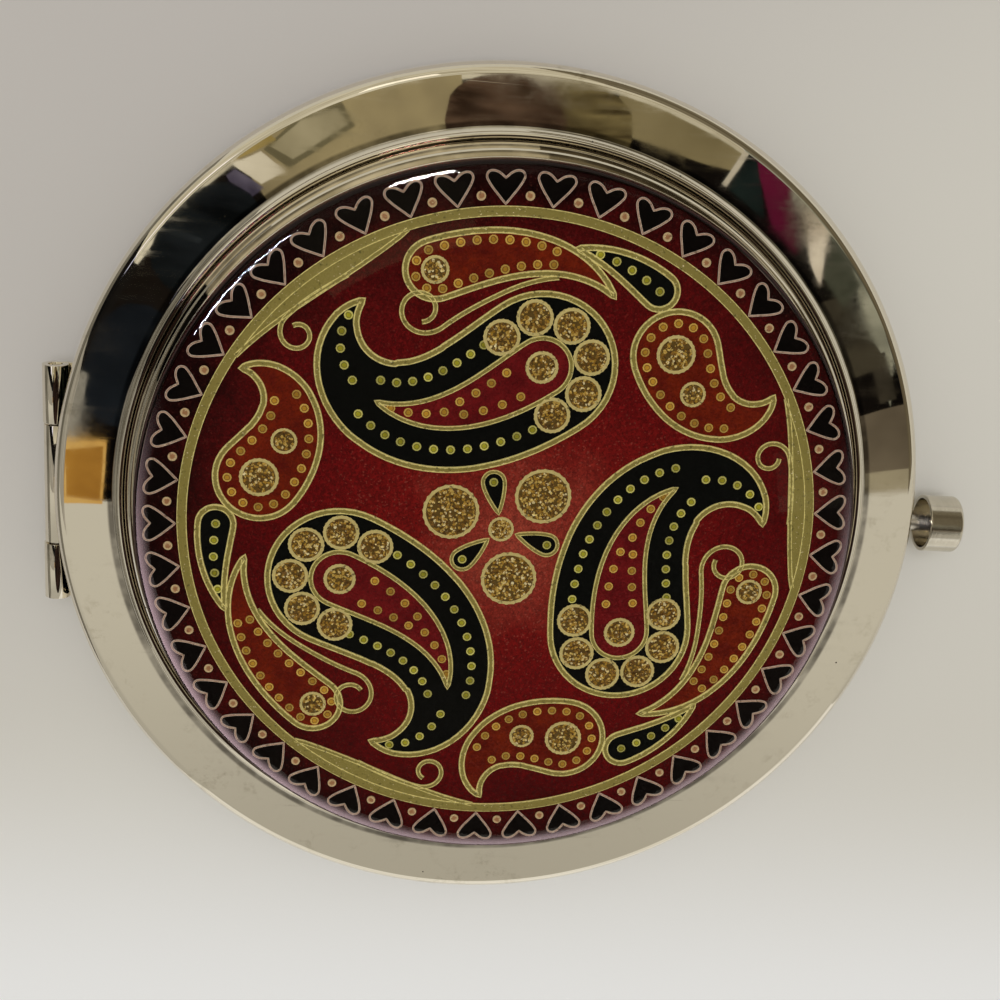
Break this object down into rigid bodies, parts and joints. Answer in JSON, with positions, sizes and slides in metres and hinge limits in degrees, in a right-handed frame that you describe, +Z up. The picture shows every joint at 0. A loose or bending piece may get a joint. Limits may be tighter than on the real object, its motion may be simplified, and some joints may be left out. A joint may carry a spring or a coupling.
{
  "type": "compact mirror",
  "caption": "Round hinged pocket mirror with an enamelled and domed lid, a push button latch and a mirror in each half.",
  "frame": {"origin": "middle of the flat back that the closed compact rests on", "axes": "+Z up through the lid, +X towards the push button, -X towards the hinge, +Y along the hinge's axis"},
  "size_m": [0.076, 0.07, 0.0113],
  "materials": {
    "polished_nickel": "polished nickel plate on pressed steel",
    "satin_nickel": "satin nickel plate on stamped steel",
    "pin_steel": "turned and polished",
    "spring_steel": "drawn wire",
    "mirror_glass": "silvered glass",
    "adhesive_foam": "thin white double-sided foam",
    "crimson_enamel": "enamel with fine glitter between raised metal wires",
    "clear_resin": "clear glossy resin"
  },
  "bodies": {
    "base": {"base_shell": "polished_nickel", "base_mirror_ring": "polished_nickel", "magnifying_mirror": "mirror_glass", "magnifying_mirror_pad": "adhesive_foam", "base_hinge_leaf": "polished_nickel", "hinge_pin": "pin_steel", "latch_bracket": "satin_nickel", "button_spring": "spring_steel"},
    "button": {"button_cap": "polished_nickel", "button_stem": "pin_steel", "latch_hook": "satin_nickel", "stem_clip": "spring_steel"},
    "lid": {"lid_shell": "polished_nickel", "lid_bezel": "polished_nickel", "plate_pad": "adhesive_foam", "enamel_plate": "crimson_enamel", "clear_dome": "clear_resin", "lid_mirror_ring": "polished_nickel", "plain_mirror": "mirror_glass", "plain_mirror_pad": "adhesive_foam", "lid_hinge_leaf": "polished_nickel", "lid_catch": "satin_nickel"}
  },
  "joints": [
    {"name": "lid_hinge", "type": "hinge", "parent": "base", "child": "lid", "pos_m": [-0.0351, 0, 0.0039], "axis": [0, -1, 0], "range_deg": [0, 180]},
    {"name": "button_press", "type": "slide", "parent": "base", "child": "button", "axis": [-1, 0, 0], "range_m": [0, 0.001], "stiffness_N_per_m": 1000, "springref_m": -0.0005, "deforming": ["button_spring"]}
  ]
}
